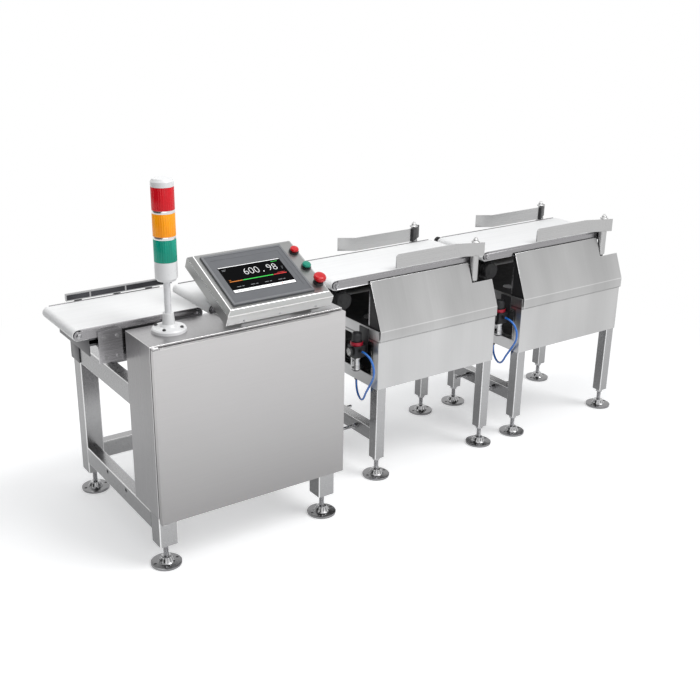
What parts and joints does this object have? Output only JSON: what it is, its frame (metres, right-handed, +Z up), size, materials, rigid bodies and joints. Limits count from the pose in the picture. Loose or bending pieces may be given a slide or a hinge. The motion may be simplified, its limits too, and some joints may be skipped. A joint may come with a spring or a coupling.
{
  "type": "sorting checkweigher",
  "caption": "Multi-stage sorting checkweigher: infeed and weigh belts with control cabinet, sloped touch panel and signal tower, then sorting stations with pneumatic swing arms.",
  "frame": {"origin": "centre of the footprint box on the floor", "axes": "+X along the product flow from infeed to last sorting station, +Y away from the operator side, +Z up"},
  "size_m": [2.268, 0.6699, 1.167],
  "materials": {
    "frame_steel": "satin brushed",
    "sheet_steel": "fine brushed",
    "polished_steel": "polished",
    "roller_steel": "turned",
    "belt_white": "matte coated fabric",
    "black_rubber": "matte",
    "black_plastic": "fine textured",
    "black_paint": "semi-gloss",
    "device_grey": "moulded",
    "panel_paint": "fine powder coat",
    "bezel_grey": "fine textured",
    "screen_black": "glossy",
    "tower_white": "glossy",
    "pole_white": "gloss paint",
    "lens_red": "clear tinted",
    "lens_amber": "clear tinted",
    "lens_green": "clear tinted",
    "button_red": "glossy",
    "button_green": "glossy",
    "aluminium": "anodised",
    "hose_blue": "smooth"
  },
  "bodies": {
    "machine": {"main_frame": "frame_steel", "sort_frames": "frame_steel", "foot_pads": "polished_steel", "foot_stems": "polished_steel", "coupling_rods": "frame_steel", "cabinet_body": "sheet_steel", "door_seal": "black_rubber", "control_panel": "device_grey", "hmi_housing": "panel_paint", "hmi_stand": "frame_steel", "hmi_bezel": "bezel_grey", "touchscreen": "screen_black", "button_collars": "black_plastic", "tower_base": "tower_white", "tower_pole": "pole_white", "tower_housing": "tower_white", "lens_red": "lens_red", "lens_amber": "lens_amber", "lens_green": "lens_green", "conveyor_belts": "belt_white", "infeed_conveyor_frame": "sheet_steel", "weigh_conveyor_frame": "sheet_steel", "sort_conveyor_frames": "sheet_steel", "drive_motors": "black_paint", "timing_belts": "black_rubber", "load_cell": "aluminium", "fasteners": "polished_steel", "guide_rail": "sheet_steel", "sort_decks": "black_paint", "sort_covers": "sheet_steel", "sort_panels": "sheet_steel", "air_cylinders": "aluminium", "air_regulators": "black_plastic", "air_hose_1": "hose_blue", "air_hose_2": "hose_blue"},
    "cabinet_door": {"cabinet_door": "sheet_steel"},
    "stop_button": {"stop_button": "button_red"},
    "start_button": {"start_button": "button_green"},
    "estop_button": {"estop_button": "button_red"},
    "infeed_drive_roller": {"infeed_drive_roller": "roller_steel"},
    "infeed_tail_roller": {"infeed_tail_roller": "roller_steel"},
    "weigh_drive_roller": {"weigh_drive_roller": "roller_steel"},
    "weigh_tail_roller": {"weigh_tail_roller": "roller_steel"},
    "sort_drive_roller_1": {"sort_drive_roller_1": "roller_steel"},
    "sort_tail_roller_1": {"sort_tail_roller_1": "roller_steel"},
    "sort_drive_roller_2": {"sort_drive_roller_2": "roller_steel"},
    "sort_tail_roller_2": {"sort_tail_roller_2": "roller_steel"},
    "motor_pulley_1": {"motor_pulley_1": "roller_steel"},
    "motor_pulley_2": {"motor_pulley_2": "roller_steel"},
    "front_arm_1": {"front_arm_1": "sheet_steel"},
    "rear_arm_1": {"rear_arm_1": "sheet_steel"},
    "front_arm_2": {"front_arm_2": "sheet_steel"},
    "rear_arm_2": {"rear_arm_2": "sheet_steel"},
    "front_rod_1": {"front_rod_1": "polished_steel"},
    "rear_rod_1": {"rear_rod_1": "polished_steel"},
    "front_rod_2": {"front_rod_2": "polished_steel"},
    "rear_rod_2": {"rear_rod_2": "polished_steel"},
    "regulator_knob_1": {"regulator_knob_1": "black_plastic"},
    "regulator_knob_2": {"regulator_knob_2": "black_plastic"}
  },
  "joints": [
    {"name": "door_hinge", "type": "hinge", "parent": "machine", "child": "cabinet_door", "pos_m": [-0.975, -0.325, 0.44], "axis": [0, 0, 1], "range_deg": [-110, 0]},
    {"name": "stop_press", "type": "slide", "parent": "machine", "child": "stop_button", "axis": [0, 0.4226, -0.9063], "range_m": [0, 0.003], "stiffness_N_per_m": 500, "springref_m": -0.002},
    {"name": "start_press", "type": "slide", "parent": "machine", "child": "start_button", "axis": [0, 0.4226, -0.9063], "range_m": [0, 0.003], "stiffness_N_per_m": 500, "springref_m": -0.002},
    {"name": "estop_press", "type": "slide", "parent": "machine", "child": "estop_button", "axis": [0, 0.4226, -0.9063], "range_m": [0, 0.005]},
    {"name": "front_swing_1", "type": "hinge", "parent": "machine", "child": "front_arm_1", "pos_m": [0.366, -0.143, 0.77], "axis": [0, 0, 1], "range_deg": [-42, 0]},
    {"name": "rear_swing_1", "type": "hinge", "parent": "machine", "child": "rear_arm_1", "pos_m": [0.326, 0.157, 0.77], "axis": [0, 0, 1], "range_deg": [0, 42]},
    {"name": "front_stroke_1", "type": "slide", "parent": "machine", "child": "front_rod_1", "axis": [1, 0, 0], "range_m": [0, 0.029]},
    {"name": "rear_stroke_1", "type": "slide", "parent": "machine", "child": "rear_rod_1", "axis": [1, 0, 0], "range_m": [0, 0.029]},
    {"name": "front_swing_2", "type": "hinge", "parent": "machine", "child": "front_arm_2", "pos_m": [1.031, -0.143, 0.77], "axis": [0, 0, 1], "range_deg": [-42, 0]},
    {"name": "rear_swing_2", "type": "hinge", "parent": "machine", "child": "rear_arm_2", "pos_m": [0.991, 0.157, 0.77], "axis": [0, 0, 1], "range_deg": [0, 42]},
    {"name": "front_stroke_2", "type": "slide", "parent": "machine", "child": "front_rod_2", "axis": [1, 0, 0], "range_m": [0, 0.029]},
    {"name": "rear_stroke_2", "type": "slide", "parent": "machine", "child": "rear_rod_2", "axis": [1, 0, 0], "range_m": [0, 0.029]},
    {"name": "infeed_drive_spin", "type": "hinge", "parent": "machine", "child": "infeed_drive_roller", "pos_m": [-0.7333, 0.007, 0.7227], "axis": [0, 1, 0], "continuous": true},
    {"name": "infeed_tail_spin", "type": "hinge", "parent": "machine", "child": "infeed_tail_roller", "pos_m": [-1.1167, 0.007, 0.7227], "axis": [0, 1, 0], "continuous": true},
    {"name": "weigh_drive_spin", "type": "hinge", "parent": "machine", "child": "weigh_drive_roller", "pos_m": [-0.2763, 0.007, 0.7227], "axis": [0, 1, 0], "continuous": true},
    {"name": "weigh_tail_spin", "type": "hinge", "parent": "machine", "child": "weigh_tail_roller", "pos_m": [-0.6787, 0.007, 0.7227], "axis": [0, 1, 0], "continuous": true},
    {"name": "sort_drive_spin_1", "type": "hinge", "parent": "machine", "child": "sort_drive_roller_1", "pos_m": [-0.2217, 0.007, 0.7227], "axis": [0, 1, 0], "continuous": true},
    {"name": "sort_tail_spin_1", "type": "hinge", "parent": "machine", "child": "sort_tail_roller_1", "pos_m": [0.3887, 0.007, 0.7227], "axis": [0, 1, 0], "continuous": true},
    {"name": "motor_spin_1", "type": "hinge", "parent": "machine", "child": "motor_pulley_1", "pos_m": [-0.1757, 0.007, 0.6567], "axis": [0, 1, 0], "continuous": true},
    {"name": "sort_drive_spin_2", "type": "hinge", "parent": "machine", "child": "sort_drive_roller_2", "pos_m": [0.4433, 0.007, 0.7227], "axis": [0, 1, 0], "continuous": true},
    {"name": "sort_tail_spin_2", "type": "hinge", "parent": "machine", "child": "sort_tail_roller_2", "pos_m": [1.0537, 0.007, 0.7227], "axis": [0, 1, 0], "continuous": true},
    {"name": "motor_spin_2", "type": "hinge", "parent": "machine", "child": "motor_pulley_2", "pos_m": [0.4893, 0.007, 0.6567], "axis": [0, 1, 0], "continuous": true},
    {"name": "knob_turn_1", "type": "hinge", "parent": "machine", "child": "regulator_knob_1", "pos_m": [-0.123, -0.108, 0.52], "axis": [0, 0, 1], "range_deg": [-540, 540]},
    {"name": "knob_turn_2", "type": "hinge", "parent": "machine", "child": "regulator_knob_2", "pos_m": [0.542, -0.108, 0.52], "axis": [0, 0, 1], "range_deg": [-540, 540]}
  ],
  "couplings": [
    {"joint": "front_stroke_1", "follows": "front_swing_1", "m_per_rad": -0.03911},
    {"joint": "rear_stroke_1", "follows": "rear_swing_1", "m_per_rad": 0.03911},
    {"joint": "front_stroke_2", "follows": "front_swing_2", "m_per_rad": -0.03911},
    {"joint": "rear_stroke_2", "follows": "rear_swing_2", "m_per_rad": 0.03911},
    {"joint": "infeed_tail_spin", "follows": "infeed_drive_spin", "ratio": 1},
    {"joint": "weigh_tail_spin", "follows": "weigh_drive_spin", "ratio": 1},
    {"joint": "sort_tail_spin_1", "follows": "sort_drive_spin_1", "ratio": 1},
    {"joint": "motor_spin_1", "follows": "sort_drive_spin_1", "ratio": 1},
    {"joint": "sort_tail_spin_2", "follows": "sort_drive_spin_2", "ratio": 1},
    {"joint": "motor_spin_2", "follows": "sort_drive_spin_2", "ratio": 1}
  ]
}
